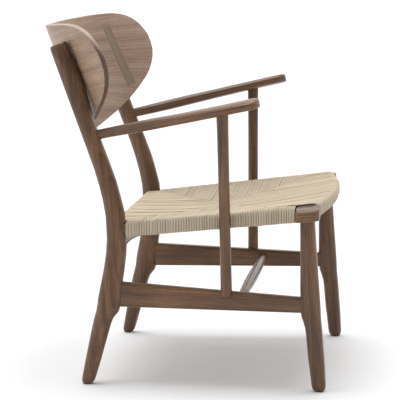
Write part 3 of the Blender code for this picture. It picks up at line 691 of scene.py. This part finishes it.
def cord_path(seam, rail_point, out, lift):
    """One cord from its seam, out over the rail and back below to the seam."""
    centre = rail_centre(rail_point, out)
    if centre is None:
        return None
    sunk = CORD_R - lift
    plan = Vector((centre.x, centre.y))
    if (plan - seam).dot(out) < SHORTEST_RUN:
        seam = plan - out * SHORTEST_RUN
    top = surface_run(seam, plan, seat_top, -sunk)
    low = surface_run(plan, seam, seat_bottom, sunk)
    tuck = Vector((-out.x, -out.y, 0)) * SEAM_TUCK
    dive = [top[0] + tuck - Vector((0, 0, SEAM_DIVE))]
    rise = [low[-1] + tuck + Vector((0, 0, SEAM_DIVE))]
    return dive + top + wrap_run(centre, out, sunk) + low + rise


def sideways(station, f, wander, gaps, seed):
    """How far the cord lies off its station, at the fraction f of its path."""
    near_seam = max(0.0, 1 - min(f, 1 - f) / SEAM_SHARE)
    drift = DRIFT_REACH * noise.noise(Vector((station * DRIFT_ACROSS, f * DRIFT_ALONG, seed)))
    apart = 0.0
    for gap, width in gaps:
        away = station - gap
        apart += math.copysign(width, away) * math.exp(-abs(away) / GAP_FADE) * near_seam
    return wander + drift + apart


def unevenness(station, f, gaps, seed):
    """How far the cord stands off the seat at f. Its ends and the turn round the rail stay."""
    if not PATH_END < f < 1 - PATH_END:
        return 0.0
    inner = min(1.0, max(0.0, (RAIL_SHARE - min(f, 1 - f)) / RAIL_FADE))
    place = Vector((station * UNEVEN_ACROSS, f * UNEVEN_ALONG, seed + UNEVEN_SEED_STEP))
    step = UNEVEN_REACH * noise.noise(place)
    for gap, width in gaps:
        away = station - gap
        if away > 0:
            step += STEP_HEIGHT * width * math.exp(-away / STEP_FADE)
    return step * inner


def loosened(path, side, station, wander, gaps, seed):
    """The path as hand work leaves it. Up on the top half, down on the bottom half."""
    last = len(path) - 1
    placed = []
    for k, p in enumerate(path):
        f = k / last
        outward = 1 if f < 0.5 else -1
        rise = outward * unevenness(station, f, gaps, seed)
        shift = sideways(station, f, wander, gaps, seed)
        placed.append(p + side * shift + Vector((0, 0, rise)))
    return placed


# ---- fields of cords ----


class Field:
    """Tubes gathered into one mesh, with a UV map along each cord and a tone for it."""

    def __init__(self):
        self.points = []
        self.faces = []
        self.uvs = []
        self.tones = []

    def tube(self, path, side, tone):
        """Adds a closed tube along the path."""
        base = len(self.points)
        lengths = self.rings(path, side)
        self.tones += [tone] * (len(path) * CORD_SIDES)
        for k in range(len(path) - 1):
            self.band(base + k * CORD_SIDES, lengths[k], lengths[k + 1])
        last = base + (len(path) - 1) * CORD_SIDES
        self.faces.append(tuple(base + j for j in reversed(range(CORD_SIDES))))
        self.uvs += [(0, 0)] * CORD_SIDES
        self.faces.append(tuple(last + j for j in range(CORD_SIDES)))
        self.uvs += [(lengths[-1], 0)] * CORD_SIDES

    def rings(self, path, side):
        """A ring of points at each point of the path. Returns the lengths so far."""
        lengths = []
        length = 0.0
        for k, p in enumerate(path):
            before = path[max(k - 1, 0)]
            after = path[min(k + 1, len(path) - 1)]
            up = (after - before).normalized().cross(side).normalized()
            length += (p - before).length
            lengths.append(length)
            for j in range(CORD_SIDES):
                a = 2 * math.pi * j / CORD_SIDES
                self.points.append(p + (side * math.cos(a) + up * math.sin(a)) * CORD_R)
        return lengths

    def band(self, row, start, end):
        """The faces between the ring that starts at point `row` and the next one."""
        ahead = row + CORD_SIDES
        for j in range(CORD_SIDES):
            n = (j + 1) % CORD_SIDES
            self.faces.append((row + j, row + n, ahead + n, ahead + j))
            low = j / CORD_SIDES
            high = (j + 1) / CORD_SIDES
            self.uvs += [(start, low), (start, high), (end, high), (end, low)]

    def make(self, name, made):
        mesh = bpy.data.meshes.new(name)
        mesh.from_pydata(self.points, [], self.faces)
        layer = mesh.uv_layers.new(name="cord")
        for loop, uv in zip(layer.data, self.uvs):
            loop.uv = uv
        tone = mesh.attributes.new("tone", "FLOAT", "POINT")
        tone.data.foreach_set("value", self.tones)
        mesh.shade_smooth()
        return placed_mesh(mesh, made)


def placed_mesh(mesh, made):
    mesh.materials.append(made)
    obj = bpy.data.objects.new(mesh.name, mesh)
    bpy.context.scene.collection.objects.link(obj)
    return obj


def stations(low, high):
    """Even places one cord apart, from low to high."""
    steps = round((high - low) / CORD_PITCH)
    return [low + (high - low) * k / steps for k in range(steps + 1)]


def side_ends(y, sign):
    """In plan, a side cord's place on the seam and a point of its rail."""
    corner = front_corner if y < apex.y else rear_corner
    f = (y - apex.y) / (corner.y - apex.y)
    seam = Vector((sign * (apex.x + (corner.x - apex.x) * f), y))
    return seam, Vector((sign * side_rail_x(y), y))


def cross_ends(x, corner, rail_y):
    """In plan, a front or rear cord's place on the seam and a point of its rail."""
    f = min(1.0, max(0.0, (abs(x) - apex.x) / (corner.x - apex.x)))
    return Vector((x, apex.y + (corner.y - apex.y) * f)), Vector((x, rail_y))


def piled(station, out):
    """The front cords next to the heads lie on extra turns that fill the wider front."""
    if out.y >= 0:
        return 0.0
    f = min(1.0, max(0.0, (abs(station) - FRONT_CORNER[0] + PILE_WIDTH) / PILE_RISE))
    return PILE_HEIGHT * f * f * (3 - 2 * f)


def weave_field(name, places, out, ends_for, gaps, seed, made):
    """All cords of one field, which turn round their rail on the side that `out` points to."""
    rng = random.Random(seed)
    side = Vector((abs(out.y), abs(out.x), 0))
    field = Field()
    for station in places:
        lift = rng.uniform(*LIFTS) + piled(station, out)
        wander = rng.uniform(-WANDER, WANDER)
        tone = rng.gauss(TONE_MEAN, TONE_SPREAD)
        seam, rail_point = ends_for(station)
        path = cord_path(seam, rail_point, out, lift)
        if path is None:
            continue
        path = loosened(path, side, station, wander, gaps, seed)
        field.tube(path, side, min(1.0, max(0.0, tone)))
    return field.make(name, made)


# ---- the hidden cords ----


def slab_points():
    """The slab's top points and bottom points, row by row from the rear."""
    top = []
    low = []
    for j in range(INNER_ROWS + 1):
        v = j / INNER_ROWS
        y = rear_corner.y + (front_corner.y - rear_corner.y) * v
        reach = rear_corner.x + (front_corner.x - rear_corner.x) * v - INNER_INSET
        for i in range(INNER_COLUMNS + 1):
            x = reach * (2 * i / INNER_COLUMNS - 1)
            top.append(Vector((x, y, seat_top(x, y) - INNER_DEPTH)))
            low.append(Vector((x, y, seat_bottom(x, y) + INNER_DEPTH)))
    return top, low


def slab_rim():
    """The indices of the slab's top outline, in order."""
    width = INNER_COLUMNS + 1
    rim = list(range(width))
    rim += [j * width + INNER_COLUMNS for j in range(1, INNER_ROWS + 1)]
    rim += [INNER_ROWS * width + i for i in reversed(range(INNER_COLUMNS))]
    rim += [j * width for j in reversed(range(1, INNER_ROWS))]
    return rim


def inner_layer():
    """The cords between the two visible layers, as one thin closed slab inside the rails."""
    top, low = slab_points()
    half = len(top)
    width = INNER_COLUMNS + 1
    faces = []
    for j in range(INNER_ROWS):
        for i in range(INNER_COLUMNS):
            a = j * width + i
            faces.append((a, a + width, a + width + 1, a + 1))
            faces.append((half + a, half + a + 1, half + a + width + 1, half + a + width))
    rim = slab_rim()
    for a, b in zip(rim, rim[1:] + rim[:1]):
        faces.append((a, b, half + b, half + a))
    mesh = bpy.data.meshes.new("cord_inner_layer")
    mesh.from_pydata(top + low, [], faces)
    return placed_mesh(mesh, painted_shade_inner_cord())


def weave_seat():
    """The four fields of cords and the slab between them, in place of the plain seat."""
    made = paper_cord()
    side_places = stations(front_corner.y - SIDE_PAST_FRONT, rear_corner.y - SIDE_SHORT_OF_REAR)
    front_reach = front_corner.x - FRONT_SHORT_OF_SIDE
    front_places = stations(-front_reach, front_reach)
    rear_places = stations(-rear_corner.x, rear_corner.x)
    front_y = front_corner.y - FRONT_RAIL_AHEAD
    rear_y = rear_corner.y + REAR_RAIL_BEHIND

    def right_ends(y):
        return side_ends(y, -1)

    def left_ends(y):
        return side_ends(y, 1)

    def front_ends(x):
        return cross_ends(x, front_corner, front_y)

    def rear_ends(x):
        return cross_ends(x, rear_corner, rear_y)

    fields = (
        ("cord_field_right", side_places, (-1, 0), right_ends, SIDE_GAPS, RIGHT_SEED),
        ("cord_field_left", side_places, (1, 0), left_ends, SIDE_GAPS, LEFT_SEED),
        ("cord_field_front", front_places, (0, -1), front_ends, FRONT_GAPS, FRONT_SEED),
        ("cord_field_rear", rear_places, (0, 1), rear_ends, REAR_GAPS, REAR_SEED),
    )
    pieces = []
    for name, places, out, ends_for, gaps, seed in fields:
        pieces.append(weave_field(name, places, Vector(out), ends_for, gaps, seed, made))
    pieces.append(inner_layer())
    for piece in pieces:
        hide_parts("woven_seat")
        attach(piece, "root")


# ---- stage, light and camera ----


def floor():
    bpy.ops.mesh.primitive_plane_add(size=FLOOR_SIZE, location=(0, 0, 0))
    ground = bpy.context.object
    ground.name = "floor"
    made, _, shader = new_material("pale_floor")
    shader.inputs["Base Color"].default_value = FLOOR_TONE
    shader.inputs["Roughness"].default_value = FLOOR_ROUGHNESS
    shader.inputs["Specular IOR Level"].default_value = FLOOR_SPECULAR
    ground.data.materials.append(made)


def sun(name, strength, width, towards):
    data = bpy.data.lights.new(name, "SUN")
    data.energy = strength
    data.angle = width
    lamp = bpy.data.objects.new(name, data)
    lamp.rotation_mode = "QUATERNION"
    lamp.rotation_quaternion = Vector(towards).to_track_quat("-Z", "Y")
    bpy.context.scene.collection.objects.link(lamp)


def studio():
    """White all round, strongest on the side away from the camera."""
    world = bpy.data.worlds.new("studio")
    world.use_nodes = True
    tree = world.node_tree
    background = tree.nodes["Background"]
    background.inputs["Color"].default_value = (1, 1, 1, 1)
    direction = add(tree, "ShaderNodeTexCoord")
    x = separated(tree, direction.outputs["Generated"]).outputs["X"]
    strength = math_node(tree, "MULTIPLY", x, WORLD_TILT)
    strength = math_node(tree, "ADD", strength, WORLD_STRENGTH)
    strength = math_node(tree, "MAXIMUM", strength, WORLD_LEAST)
    tree.links.new(strength, background.inputs["Strength"])
    bpy.context.scene.world = world


def light():
    studio()
    sun("overhead", OVERHEAD_STRENGTH, OVERHEAD_WIDTH, OVERHEAD_TOWARDS)
    sun("rear_fill", FILL_STRENGTH, FILL_WIDTH, FILL_TOWARDS)
    bpy.context.scene.view_settings.view_transform = "Standard"


def camera():
    data = bpy.data.cameras.new("camera")
    data.lens = CAMERA_LENS
    data.sensor_width = CAMERA_SENSOR
    data.clip_end = CAMERA_FAR
    eye = bpy.data.objects.new("camera", data)
    level = math.cos(CAMERA_PITCH)
    look = Vector((math.cos(CAMERA_YAW) * level, math.sin(CAMERA_YAW) * level, math.sin(CAMERA_PITCH)))
    eye.location = CAMERA_PLACE
    eye.rotation_mode = "QUATERNION"
    roll = Quaternion((0, 0, 1), CAMERA_ROLL)
    eye.rotation_quaternion = look.to_track_quat("-Z", "Y") @ roll
    bpy.context.scene.collection.objects.link(eye)
    bpy.context.scene.camera = eye


camera()
light()
floor()
dress_woods()
weave_seat()
